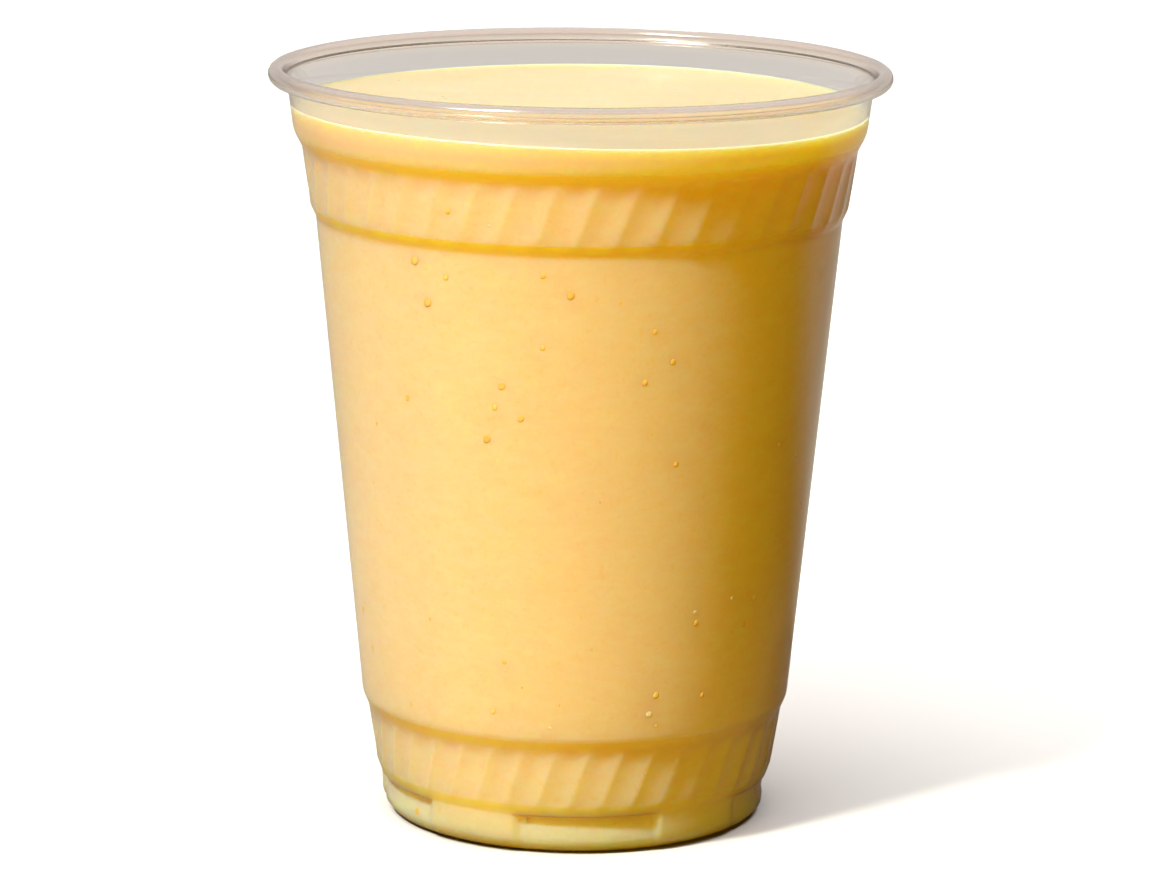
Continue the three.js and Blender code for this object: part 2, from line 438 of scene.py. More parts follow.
@dataclass(frozen=True)
class CupForm:
    """The outline of the cup, from the rest ring up to the rolled rim."""

    raised_radius: float = 22.5 * MM
    raised_height: float = 1.6 * MM
    rest_inner: float = 24.6 * MM
    rest_outer: float = 27.3 * MM
    corner_width: float = 3.5 * MM
    corner_height: float = 2.4 * MM
    foot_top: float = 31.05 * MM
    pockets: int = 5
    pocket_depth: float = 1.2 * MM
    pocket_width: float = math.radians(42)
    pocket_edge: float = math.radians(2.5)
    pocket_middle: float = math.radians(4.1)
    pocket_ceiling: float = 0.15 * MM
    lower: Section = Section(6.3 * MM, 17.2 * MM, 0.147, 0.5 * MM)
    body: Section = Section(17.2 * MM, 96.2 * MM, 0.0972, 0.72 * MM)
    upper: Section = Section(96.2 * MM, 107.3 * MM, 0.134, 0.7 * MM)
    collar: Section = Section(107.3 * MM, 115.2 * MM, 0.13, 1.0 * MM, bend=1.8 * MM)
    lower_flutes: Flutes = Flutes(40, 0.3 * MM, math.radians(0.9), math.radians(0.6) / MM)
    upper_flutes: Flutes = Flutes(44, 0.3 * MM, math.radians(1.1), math.radians(0.5) / MM)
    rim_radius: float = 49.0 * MM
    height: float = 119.8 * MM
    bead: float = 1.3 * MM
    wall: float = 0.45 * MM
    columns: int = 440

    def sections(self) -> list[Section]:
        """Gives the wall's sections from the foot up."""
        return [self.lower, self.body, self.upper, self.collar]

    def wall_radius(self, height: float) -> float:
        """Gives the outer radius of the wall over the foot.

        Args:
            height: Height over the table, up to the neck.

        Returns:
            The radius, without flutes.
        """
        start = self.foot_top
        for section in self.sections():
            if height <= section.top or section is self.collar:
                return section.radius(start, height)
            start = section.radius(start, section.top)
        return start

    def pitch(self) -> float:
        """Gives the angle between two columns of the mesh."""
        return FULL_TURN / self.columns

    def turn(self, height: float) -> float:
        """Gives how far a row of the mesh is turned, so that the columns follow the ridges.

        Args:
            height: Height of the row.

        Returns:
            The azimuth of the row's first column, in radians.
        """
        low, high = self.lower, self.upper
        foot = self.lower_flutes.turn(low, max(height, low.bottom))
        if height <= low.top:
            return foot
        head = self.upper_flutes.turn(high, min(height, high.top))
        if height >= high.bottom:
            return head
        start = self.lower_flutes.turn(low, low.top)
        end = self.upper_flutes.turn(high, high.bottom)
        end += round((start - end) / self.pitch()) * self.pitch()
        share = (height - low.top) / (high.bottom - low.top)
        return start + (end - start) * share

    def base_points(self) -> list[tuple[float, float]]:
        """Gives the outline from the raised middle to the foot's corner."""
        ramp = self.rest_inner - self.raised_radius
        points = [(share * self.raised_radius, self.raised_height) for share in (0.0, 0.5, 0.97)]
        for share in (0.15, 0.5, 0.85, 1.0):
            height = self.raised_height * (1.0 - smooth_step(share))
            points.append((self.raised_radius + share * ramp, height))
        points.append((self.rest_outer, 0.0))
        for tilt in (22.5, 45.0, 67.5, 90.0):
            angle = math.radians(tilt)
            radius = self.rest_outer + self.corner_width * math.sin(angle)
            points.append((radius, self.corner_height * (1.0 - math.cos(angle))))
        return points

    def foot_points(self) -> list[tuple[float, float]]:
        """Gives the outline of the base and the foot, up to the first step."""
        points = self.base_points()
        start_radius, start = points[-1]
        ceiling = self.lower.bottom - self.pocket_ceiling
        for height in spaced(start, ceiling, 1.0 * MM) + [self.lower.bottom]:
            share = (height - start) / (self.lower.bottom - start)
            points.append((start_radius + (self.foot_top - start_radius) * share, height))
        return points

    def pocket_cut(self, azimuth: float, height: float) -> float:
        """Gives how far a pocket in the foot goes in.

        Args:
            azimuth: Angle round the axis, in radians.
            height: Height over the table.

        Returns:
            The depth there, which is 0 on the lugs.
        """
        if height > self.lower.bottom - self.pocket_ceiling / 2:
            return 0.0
        sector = FULL_TURN / self.pockets
        away = abs((azimuth - self.pocket_middle + sector / 2) % sector - sector / 2)
        inside = (self.pocket_width / 2 + self.pocket_edge / 2 - away) / self.pocket_edge
        return self.pocket_depth * height / self.lower.bottom * smooth_step(inside)


@dataclass(frozen=True)
class RolledRim:
    """The sheet's edge above the neck: it flares out and curls over into a hollow bead."""

    form: CupForm
    flare_lead: tuple[float, float] = (0.3 * MM, 0.8 * MM)
    curl_end: float = math.radians(-150)
    curl_steps: int = 14
    flare_steps: int = 5

    def points(self) -> list[tuple[float, float]]:
        """Gives the outline of the sheet's outer skin from the neck into the curl."""
        form = self.form
        inner = form.bead - form.wall
        middle = (form.rim_radius - form.bead, form.height - form.bead)
        neck = (form.wall_radius(form.collar.top), form.collar.top)
        lead = (neck[0] + self.flare_lead[0], neck[1] + self.flare_lead[1])
        start = (middle[0] - inner, middle[1])
        points = []
        for k in range(self.flare_steps):
            t = k / self.flare_steps
            pulls = (((1 - t) ** 2, neck), (2 * t * (1 - t), lead), (t * t, start))
            points.append(tuple(sum(pull * end[side] for pull, end in pulls) for side in (0, 1)))
        for k in range(self.curl_steps + 1):
            angle = math.pi + (self.curl_end - math.pi) * k / self.curl_steps
            points.append((middle[0] + inner * math.cos(angle), middle[1] + inner * math.sin(angle)))
        return points


@dataclass(frozen=True)
class MouldedWall:
    """The cup's outer skin as one sheet of faces, up to the neck."""

    form: CupForm
    level_rows: tuple[float, ...] = (112.4 * MM, 113.3 * MM, 114.2 * MM)
    ledge_gap: float = 0.75 * MM
    band_gap: float = 1.6 * MM
    body_gap: float = 12.0 * MM
    collar_gap: float = 2.0 * MM
    edge_rows: float = 1.0 * MM

    def band(self, name: str, section: Section, flutes: Flutes) -> bpy.types.Object:
        """Models one flute and repeats it round the cup.

        Args:
            name: Name of the new object.
            section: The section of the wall that the band covers.
            flutes: The flutes on it.

        Returns:
            The band, with its rows turned along the ridges.
        """
        rows = section.heights(self.ledge_gap, self.band_gap, flutes.fade)
        piece = Bench.outline(name, [(self.form.wall_radius(z), z) for z in rows])
        Bench.spin(piece, flutes.pitch(), self.form.columns // flutes.count)
        Bench.carve(piece, lambda azimuth, height: flutes.cut(section, azimuth, height))
        Bench.repeat(piece, flutes.count)
        Bench.twist(piece, self.form.turn)
        return piece

    def foot(self) -> bpy.types.Object:
        """Models one lug and pocket of the foot and repeats it round the cup."""
        form = self.form
        start = form.turn(0.0)
        piece = Bench.outline("foot", form.foot_points())
        Bench.spin(piece, FULL_TURN / form.pockets, form.columns // form.pockets)
        Bench.carve(piece, lambda azimuth, height: form.pocket_cut(azimuth + start, height))
        Bench.repeat(piece, form.pockets)
        Bench.twist(piece, form.turn)
        return piece

    def plain(self, name: str, points: list[tuple[float, float]]) -> bpy.types.Object:
        """Models a stretch of the wall without flutes.

        Args:
            name: Name of the new object.
            points: Its outline.

        Returns:
            The stretch, with its rows turned like their neighbours.
        """
        piece = Bench.outline(name, points)
        Bench.spin(piece, FULL_TURN, self.form.columns)
        Bench.twist(piece, self.form.turn)
        return piece

    def build(self) -> bpy.types.Object:
        """Models the whole skin.

        Returns:
            One open sheet, with its faces pointing out.
        """
        form = self.form
        body_rows = form.body.heights(self.ledge_gap, self.body_gap, self.edge_rows)
        collar_rows = form.collar.heights(self.ledge_gap, self.collar_gap, self.edge_rows)
        collar_rows = [z for z in collar_rows if z < self.level_rows[0]]
        collar_rows += [*self.level_rows, form.collar.top]
        pieces = [
            self.foot(),
            self.band("lower_band", form.lower, form.lower_flutes),
            self.plain("wall", [(form.wall_radius(z), z) for z in body_rows]),
            self.band("upper_band", form.upper, form.upper_flutes),
            self.plain("collar", [(form.wall_radius(z), z) for z in collar_rows]),
        ]
        skin = Bench.join("moulded_wall", pieces)
        Bench.outward_wall(skin, form.body.middle())
        LOG.info("moulded wall: %d corners, %d faces", len(skin.data.vertices), len(skin.data.polygons))
        return skin


@dataclass(frozen=True)
class Grain:
    """A noise pattern: waves per metre, octaves, strength of the fine octaves, and stretch of each axis."""

    scale: float
    detail: float = 3.0
    rough: float = 0.6
    stretch: Rgb = (1.0, 1.0, 1.0)


class Nodes:
    """Builds the nodes of one material or world in plain steps."""

    def __init__(self, owner: bpy.types.Material | bpy.types.World, output: str) -> None:
        """Starts an empty tree with its output.

        Args:
            owner: The material or world.
            output: The output node's type.
        """
        owner.use_nodes = True
        self.owner = owner
        self.tree = owner.node_tree
        self.tree.nodes.clear()
        self.output = self.add(output)

    @classmethod
    def material(cls, name: str) -> "Nodes":
        """Starts a new material."""
        return cls(bpy.data.materials.new(name), "ShaderNodeOutputMaterial")

    @classmethod
    def world(cls, name: str) -> "Nodes":
        """Starts a new world."""
        return cls(bpy.data.worlds.new(name), "ShaderNodeOutputWorld")

    def add(self, kind: str, inputs: dict | None = None, **settings: object) -> bpy.types.Node:
        """Adds a node.

        Args:
            kind: The node's type.
            inputs: Socket names with a value, or with another node's socket to link.
            settings: The node's own properties.

        Returns:
            The new node.
        """
        node = self.tree.nodes.new(kind)
        for name, value in settings.items():
            setattr(node, name, value)
        for name, value in (inputs or {}).items():
            socket = node.inputs[name]
            if isinstance(value, bpy.types.NodeSocket):
                self.tree.links.new(value, socket)
            else:
                socket.default_value = value
        return node

    def objects(self, scale: Rgb = (1.0, 1.0, 1.0)) -> bpy.types.NodeSocket:
        """Gives the object's coordinates, stretched by a scale."""
        coords = self.add("ShaderNodeTexCoord")
        mapping = self.add("ShaderNodeMapping", {"Vector": coords.outputs["Object"], "Scale": scale})
        return mapping.outputs["Vector"]

    def height(self) -> bpy.types.NodeSocket:
        """Gives the height over the table."""
        return self.add("ShaderNodeSeparateXYZ", {0: self.objects()}).outputs[2]

    def noise(self, grain: Grain) -> bpy.types.NodeSocket:
        """Adds a noise pattern.

        Args:
            grain: The pattern.

        Returns:
            The noise's value, about 0 to 1.
        """
        node = self.add("ShaderNodeTexNoise", {
            "Vector": self.objects(grain.stretch), "Scale": grain.scale,
            "Detail": grain.detail, "Roughness": grain.rough})
        return node.outputs["Fac"]

    def remap(self, value: bpy.types.NodeSocket, source: tuple[float, float], target: tuple[float, float],
              kind: str = "LINEAR") -> bpy.types.NodeSocket:
        """Maps one range of values to another, and holds it inside that.

        Args:
            value: The socket to map.
            source: The range it is read in.
            target: The range it comes out in.
            kind: LINEAR, or SMOOTHSTEP for eased ends.

        Returns:
            The mapped value.
        """
        node = self.add("ShaderNodeMapRange", {
            "Value": value, "From Min": source[0], "From Max": source[1],
            "To Min": target[0], "To Max": target[1]}, interpolation_type=kind)
        return node.outputs[0]

    def ramp(self, value: bpy.types.NodeSocket, stops: list[tuple[float, Rgb]]) -> bpy.types.NodeSocket:
        """Maps a value to colours.

        Args:
            value: The socket to map.
            stops: Place and colour of each stop, in order.

        Returns:
            The colour.
        """
        node = self.add("ShaderNodeValToRGB", {"Fac": value})
        marks = node.color_ramp.elements
        while len(marks) < len(stops):
            marks.new(1.0)
        for mark, (place, colour) in zip(marks, stops):
            mark.position = place
            mark.color = (*colour, 1.0)
        return node.outputs["Color"]

    def math(self, kind: str, first: object, second: object = 0.0) -> bpy.types.NodeSocket:
        """Adds a math node and gives its result."""
        node = self.add("ShaderNodeMath", {0: first, 1: second}, operation=kind)
        return node.outputs[0]

    def blend(self, share: object, low: object, high: object, kind: str = "MIX") -> bpy.types.NodeSocket:
        """Mixes two colours by a share.

        Args:
            share: 0 gives the low colour and 1 the high one.
            low: Colour or socket.
            high: Colour or socket.
            kind: How the colours mix.

        Returns:
            The mixed colour.
        """
        node = self.add("ShaderNodeMix", data_type="RGBA", blend_type=kind)
        for socket, value in zip((node.inputs[0], node.inputs[6], node.inputs[7]), (share, low, high)):
            if isinstance(value, bpy.types.NodeSocket):
                self.tree.links.new(value, socket)
            else:
                socket.default_value = value if isinstance(value, float) else (*value, 1.0)
        return node.outputs[2]

    def bump(self, height: bpy.types.NodeSocket, strength: float, distance: float) -> bpy.types.NodeSocket:
        """Turns a pattern into small relief.

        Args:
            height: The pattern.
            strength: Share of the relief that shows.
            distance: Height of the relief in metres.

        Returns:
            The bent normal.
        """
        node = self.add("ShaderNodeBump", {"Height": height, "Strength": strength, "Distance": distance})
        return node.outputs["Normal"]

    def shader(self, inputs: dict) -> bpy.types.Node:
        """Adds a Principled shader with these inputs."""
        return self.add("ShaderNodeBsdfPrincipled", inputs)

    def finish(self, surface: bpy.types.NodeSocket) -> bpy.types.Material | bpy.types.World:
        """Links the shader to the output and gives the material or world."""
        self.tree.links.new(surface, self.output.inputs["Surface"])
        return self.owner


@dataclass(frozen=True)
class ClearPlastic:
    """Thin clear plastic with a faint warm tint, a little haze and the slight waves of moulding; the rim's
    warmer tint is partly painted light.
    """

    tint: Rgb = (0.885, 0.868, 0.88)
    index: float = 1.5
    roughness: tuple[float, float] = (0.03, 0.09)
    haze: Grain = Grain(160.0)
    waves: Grain = Grain(90.0, 2.0, 0.5, (1.0, 1.0, 0.35))
    wave_share: float = 0.3
    wave_height: float = 0.05 * MM
    lamp_pass: Rgb = (0.95, 0.94, 0.93)
    bead_rise: tuple[float, float] = (116.2 * MM, 117.4 * MM)
    # The rim's tint is partly the plastic's own and partly painted light: its warm cast stands in for the
    # drink's colour scattered into the rolled curl.
    bead_tint_and_painted_warmth: Rgb = (0.99, 0.935, 0.90)
    bead_haze: float = 0.13

    def make(self) -> bpy.types.Material:
        """Builds the material."""
        nodes = Nodes.material("clear_plastic")
        haze = nodes.remap(nodes.noise(self.haze), (0.0, 1.0), self.roughness)
        bead = nodes.remap(nodes.height(), self.bead_rise, (0.0, 1.0))
        rough = nodes.math("MAXIMUM", haze, nodes.math("MULTIPLY", bead, self.bead_haze))
        glass = nodes.shader({
            "Base Color": nodes.blend(bead, self.tint, self.bead_tint_and_painted_warmth), "Roughness": rough,
            "IOR": self.index, "Transmission Weight": 1.0,
            "Normal": nodes.bump(nodes.noise(self.waves), self.wave_share, self.wave_height)})
        lamps = nodes.add("ShaderNodeBsdfTransparent", {"Color": (*self.lamp_pass, 1.0)})
        path = nodes.add("ShaderNodeLightPath")
        mix = nodes.add("ShaderNodeMixShader", {
            0: path.outputs["Is Shadow Ray"], 1: glass.outputs[0], 2: lamps.outputs[0]})
        return nodes.finish(mix.outputs[0])


@dataclass(frozen=True)
class Bleed:
    """How far each colour of light travels in the drink before it comes out again."""

    red: float = 12.0 * MM
    green: float = 6.5 * MM
    blue: float = 0.8 * MM

    def inputs(self, scale: bpy.types.NodeSocket | None = None) -> dict:
        """Gives the shader's subsurface inputs.

        Args:
            scale: A socket for how far red light travels, where it isn't the same all over.

        Returns:
            The inputs by name.
        """
        return {
            "Subsurface Weight": 1.0, "Subsurface Scale": self.red if scale is None else scale,
            "Subsurface Radius": (1.0, self.green / self.red, self.blue / self.red)}


@dataclass(frozen=True)
class DrinkAgainstWall:
    """Blended mango pressed against the cup: matt and mottled, with painted shade in a deep, blue-less tone
    just over each step's lower edge.
    """

    form: CupForm
    pale: Rgb = (0.955, 0.78, 0.525)
    deep: Rgb = (0.945, 0.735, 0.435)
    clouds: Grain = Grain(260.0, 6.0, 0.75, (1.0, 1.0, 2.2))
    cloud_range: tuple[float, float] = (0.38, 0.62)
    pulp: Rgb = (0.92, 0.62, 0.20)
    fibres: Grain = Grain(900.0)
    fibre_range: tuple[float, float] = (0.56, 0.74)
    fibre_share: float = 0.4
    # The next colour and its four settings are painted shade: an almost blue-less deep tone for the shadow on
    # the drink where the wall leans out over each step, weaker on the lower two steps.
    crease_shade: Rgb = (0.96, 0.73, 0.005)
    crease_shade_low: float = 0.6
    crease_shade_rise: tuple[float, float] = (-0.6 * MM, 1.0 * MM)
    crease_shade_fall: tuple[float, float] = (1.5 * MM, 2.1 * MM)
    film: Rgb = (0.89, 0.59, 0.44)
    film_bottom: float = 109.6 * MM
    film_full: float = 111.4 * MM
    film_wave: float = 1.6 * MM
    film_edge: Grain = Grain(70.0, 2.0, 0.5)
    glow_start: float = 106.0 * MM
    glow_reach: float = 26.0 * MM
    bleed: Bleed = Bleed()
    roughness: float = 0.6
    gloss: float = 0.05
    relief: Grain = Grain(500.0)
    relief_share: float = 0.25
    relief_height: float = 0.08 * MM

    def crease_shade_share(self, nodes: Nodes) -> bpy.types.NodeSocket:
        """Gives the share of painted shade: full just over each step's lower edge, where the wall leans out
        and shades the drink, and fading out at both sides.
        """
        height = nodes.height()
        form = self.form
        steps = (
            (form.lower, self.crease_shade_low), (form.body, self.crease_shade_low),
            (form.upper, 1.0), (form.collar, 1.0))
        total = None
        for section, strength in steps:
            rise = tuple(section.bottom + away for away in self.crease_shade_rise)
            fall = tuple(section.bottom + away for away in self.crease_shade_fall)
            band = nodes.math(
                "MULTIPLY", nodes.remap(height, rise, (0.0, 1.0), "SMOOTHSTEP"),
                nodes.remap(height, fall, (strength, 0.0), "SMOOTHSTEP"))
            total = band if total is None else nodes.math("MAXIMUM", total, band)
        return total

    def film_share(self, nodes: Nodes) -> bpy.types.NodeSocket:
        """Gives a share that rises to 1 near the level, where the drink lies on the wall as a film."""
        wave = nodes.math("MULTIPLY", nodes.noise(self.film_edge), self.film_wave)
        middle = self.film_wave / 2
        edge = (self.film_bottom + middle, self.film_full + middle)
        return nodes.remap(nodes.math("ADD", nodes.height(), wave), edge, (0.0, 1.0), "SMOOTHSTEP")

    def make(self) -> bpy.types.Material:
        """Builds the material."""
        nodes = Nodes.material("drink_against_wall_and_crease_shade")
        low, high = self.cloud_range
        clouds = nodes.ramp(nodes.noise(self.clouds), [(low, self.deep), (high, self.pale)])
        fibres = nodes.remap(nodes.noise(self.fibres), self.fibre_range, (0.0, self.fibre_share))
        filmed = nodes.blend(self.film_share(nodes), nodes.blend(fibres, clouds, self.pulp), self.film)
        # Paints the shade over each step into the drink's colour.
        colour = nodes.blend(self.crease_shade_share(nodes), filmed, self.crease_shade)
        glow = (self.glow_start, self.film_full)
        reach = nodes.remap(nodes.height(), glow, (self.bleed.red, self.glow_reach))
        shader = nodes.shader({
            "Base Color": colour, "Roughness": self.roughness, "Specular IOR Level": self.gloss,
            "Normal": nodes.bump(nodes.noise(self.relief), self.relief_share, self.relief_height),
            **self.bleed.inputs(reach)})
        return nodes.finish(shader.outputs[0])


@dataclass(frozen=True)
class DrinkSurface:
    """The open top of the drink: pale, wet, with faint swirl streaks and fine froth."""

    # pale and warm are a little darker than the drink's side tones: painted shade that offsets the stronger
    # light falling on the open top.
    pale: Rgb = (0.93, 0.76, 0.44)
    warm: Rgb = (0.92, 0.73, 0.38)
    streaks: Grain = Grain(60.0, 4.0, 0.6, (0.5, 2.2, 1.0))
    streak_range: tuple[float, float] = (0.38, 0.62)
    froth: Rgb = (0.95, 0.80, 0.50)
    foam: Grain = Grain(1400.0, 2.0)
    foam_range: tuple[float, float] = (0.58, 0.72)
    foam_share: float = 0.6
    bleed: Bleed = Bleed(4.0 * MM, 2.0 * MM, 0.8 * MM)
    roughness: tuple[float, float] = (0.22, 0.42)
    wetness: Grain = Grain(250.0)
    gloss: float = 0.5
    relief: Grain = Grain(700.0)
    relief_share: float = 0.35
    relief_height: float = 0.12 * MM

    def make(self) -> bpy.types.Material:
        """Builds the material."""
        nodes = Nodes.material("drink_surface")
        low, high = self.streak_range
        streaks = nodes.ramp(nodes.noise(self.streaks), [(low, self.warm), (high, self.pale)])
        foam = nodes.remap(nodes.noise(self.foam), self.foam_range, (0.0, self.foam_share))
        shader = nodes.shader({
            "Base Color": nodes.blend(foam, streaks, self.froth),
            "Roughness": nodes.remap(nodes.noise(self.wetness), (0.0, 1.0), self.roughness),
            "Specular IOR Level": self.gloss,
            "Normal": nodes.bump(nodes.noise(self.relief), self.relief_share, self.relief_height),
            **self.bleed.inputs()})
        return nodes.finish(shader.outputs[0])


@dataclass(frozen=True)
class FleckSkin:
    """The finish of small things in the drink: two tones, their sheen and a fine relief."""

    name: str
    first: Rgb
    second: Rgb
    tones: Grain
    tone_range: tuple[float, float]
    roughness: float
    gloss: float
    relief: Grain
    relief_share: float
    relief_height: float

    def make(self) -> bpy.types.Material:
        """Builds the material."""
        nodes = Nodes.material(self.name)
        low, high = self.tone_range
        colour = nodes.ramp(nodes.noise(self.tones), [(low, self.first), (high, self.second)])
        shader = nodes.shader({
            "Base Color": colour, "Roughness": self.roughness, "Specular IOR Level": self.gloss,
            "Normal": nodes.bump(nodes.noise(self.relief), self.relief_share, self.relief_height)})
        return nodes.finish(shader.outputs[0])


PULP_FLESH = FleckSkin(
    "pulp_flesh", first=(0.92, 0.56, 0.08), second=(0.96, 0.70, 0.20), tones=Grain(700.0, 2.0, 0.5),
    tone_range=(0.35, 0.65), roughness=0.5, gloss=0.1, relief=Grain(2500.0, 2.0, 0.5),
    relief_share=0.3, relief_height=0.03 * MM)
BUBBLE_SKIN = FleckSkin(
    "bubble_skin", first=(0.95, 0.80, 0.50), second=(0.97, 0.87, 0.66), tones=Grain(900.0, 2.0, 0.5),
    tone_range=(0.4, 0.6), roughness=0.12, gloss=0.5, relief=Grain(1800.0, 2.0, 0.5),
    relief_share=0.15, relief_height=0.02 * MM)


@dataclass
class ClearCup:
    """The clear take-away cup, one thin moulded sheet with a rolled rim."""

    form: CupForm
    plastic: ClearPlastic = ClearPlastic()
    smooth_angle: float = math.radians(40)

    def build(self, skin: bpy.types.Object) -> bpy.types.Object:
        """Adds the rim to a copy of the skin and gives the sheet its thickness.

        Args:
            skin: The moulded wall's outer skin.

        Returns:
            The finished cup.
        """
        wall = MouldedWall(self.form)
        rim = wall.plain("rim", RolledRim(self.form).points())
        cup = Bench.join("clear_cup", [Bench.copy(skin, "clear_cup"), rim])
        Bench.outward_wall(cup, self.form.body.middle())
        Bench.pick(cup)
        sheet = cup.modifiers.new("sheet", "SOLIDIFY")
        sheet.thickness = self.form.wall
        sheet.offset = -1.0
        sheet.use_even_offset = True
        sheet.use_rim = True
        bpy.ops.object.modifier_apply(modifier=sheet.name)
        Bench.smooth(cup, self.smooth_angle)
        self.dress(cup)
        return cup

    def dress(self, cup: bpy.types.Object) -> None:
        """Gives the cup its finish and its place in the model."""
        cup.data.materials.append(self.plastic.make())
        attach(cup, BODY)
        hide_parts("cup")


@dataclass
class Smoothie:
    """The drink: it fills the cup to the middle of the wall, with a free swirled top."""

    form: CupForm
    level: float = 113.3 * MM
    lean: float = 0.5 * MM
    lean_side: float = math.radians(-130)
    ripple: float = 0.3 * MM
    ripple_side: float = math.radians(-40)
    swirl: float = 0.25 * MM
    swirl_turn: float = math.radians(150)
    meniscus: float = 0.35 * MM
    meniscus_width: float = 0.8 * MM
    mound: float = 0.35 * MM
    mound_scale: float = 55.0
    pucker: float = 0.10 * MM
    pucker_scale: float = 190.0
    pucker_stretch: float = 1.6
    relief_fade: float = 4.0 * MM
    sink: float = 0.25
    edge_rings: tuple[float, ...] = (0.25 * MM, 0.6 * MM, 1.1 * MM, 1.8 * MM)
    eye: float = 0.8 * MM
    ring_gap: float = 1.1 * MM
    smooth_angle: float = math.radians(50)

    def inset(self) -> float:
        """Gives how far inside the cup's outer skin the drink ends, which is within the wall."""
        return self.form.wall * self.sink

    def height(self, azimuth: float, share: float) -> float:
        """Gives the height of the free surface.

        Args:
            azimuth: Angle round the axis, in radians.
            share: Distance from the axis as a share of the surface's radius.

        Returns:
            The height over the table.
        """
        lean = share * self.lean * math.cos(azimuth - self.lean_side)
        ripple = share * share * self.ripple * math.cos(2 * (azimuth - self.ripple_side))
        swirl = self.swirl * math.sin(azimuth + self.swirl_turn * share) * math.sin(math.pi * share)
        return self.level + lean + ripple + swirl

    def relief(self, place: Vector, radius: float) -> float:
        """Gives the small uneven relief of the free surface, with the rise at the wall.

        Args:
            place: Place on the surface.
            radius: The surface's outer radius.

        Returns:
            The height to add.
        """
        away = radius - math.hypot(place.x, place.y)
        rise = self.meniscus * math.exp(-away / self.meniscus_width)
        mounds = self.mound * noise.noise(Vector((place.x, place.y, 0.0)) * self.mound_scale)
        grain = Vector((place.x, place.y * self.pucker_stretch, 0.3)) * self.pucker_scale
        return rise + (mounds + self.pucker * noise.noise(grain)) * smooth_step(away / self.relief_fade)

    def build(self, skin: bpy.types.Object) -> bpy.types.Object:
        """Models the drink from a copy of the cup's skin.

        Args:
            skin: The moulded wall's outer skin.

        Returns:
            The finished drink.
        """
        drink = Bench.copy(skin, "smoothie_drink")
        top_row = self.cut_to_level(drink)
        Bench.edit(drink)
        bpy.ops.transform.shrink_fatten(value=-self.inset())
        Bench.close()
        self.close_top(drink, top_row)
        self.shape_top(drink)
        Bench.outward(drink)
        Bench.smooth(drink, self.smooth_angle)
        self.dress(drink)
        return drink

    def cut_to_level(self, drink: bpy.types.Object) -> float:
        """Deletes the wall over the drink's level.

        Args:
            drink: The copy of the skin.

        Returns:
            The height of the row left on top.
        """
        keep = self.level + Bench.WELD
        Bench.edit(drink)
        mesh = bmesh.from_edit_mesh(drink.data)
        Bench.choose(mesh, [corner for corner in mesh.verts if corner.co.z > keep])
        bmesh.update_edit_mesh(drink.data)
        bpy.ops.mesh.delete(type="VERT")
        Bench.close()
        return max(corner.co.z for corner in drink.data.vertices)

    def close_top(self, drink: bpy.types.Object, top_row: float) -> None:
        """Draws the free surface as rings from the wall to the middle.

        Args:
            drink: The open drink.
            top_row: Height of its open edge before it was drawn in.
        """
        Bench.edit(drink)
        bpy.ops.mesh.select_mode(type="VERT")
        mesh = bmesh.from_edit_mesh(drink.data)
        rim = [corner for corner in mesh.verts if corner.co.z > top_row - 0.5 * MM]
        Bench.choose(mesh, rim)
        bmesh.update_edit_mesh(drink.data)
        radius = max(math.hypot(corner.co.x, corner.co.y) for corner in rim)
        steps = [*self.edge_rings, *spaced(self.edge_rings[-1], radius - self.eye, self.ring_gap)]
        last = radius
        for step in steps:
            share = (radius - step) / last
            last = radius - step
            bpy.ops.mesh.extrude_edges_move()
            bpy.ops.transform.resize(value=(share, share, 1.0), center_override=(0.0, 0.0, 0.0))
        bpy.ops.mesh.extrude_edges_move()
        bpy.ops.mesh.merge(type="CENTER")
        Bench.close()

    def shape_top(self, drink: bpy.types.Object) -> None:
        """Lifts the free surface and its edge to the uneven level, and marks its faces."""
        mesh = drink.data
        flat = max(corner.co.z for corner in mesh.vertices)
        top = [corner for corner in mesh.vertices if corner.co.z > flat - 0.1 * MM]
        radius = max(math.hypot(corner.co.x, corner.co.y) for corner in top)
        for corner in top:
            azimuth = azimuth_of(corner.co)
            reach = math.hypot(corner.co.x, corner.co.y)
            height = self.height(azimuth, reach / radius) + self.relief(corner.co, radius)
            spread = 1.0 + self.form.collar.flare * (height - flat) * (reach / radius) / radius
            corner.co = Vector((corner.co.x * spread, corner.co.y * spread, height))
        names = {corner.index for corner in top}
        mesh.materials.append(DrinkAgainstWall(self.form).make())
        mesh.materials.append(DrinkSurface().make())
        for face in mesh.polygons:
            face.material_index = int(all(k in names for k in face.vertices))

    def dress(self, drink: bpy.types.Object) -> None:
        """Gives the drink its place in the model."""
        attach(drink, BODY)
        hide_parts("smoothie")


@dataclass(frozen=True)
class Fleck:
    """One small thing at the drink's side: its place round the axis, its size and its lean."""

    azimuth: float
    height: float
    size: float
    lean: float = 0.0


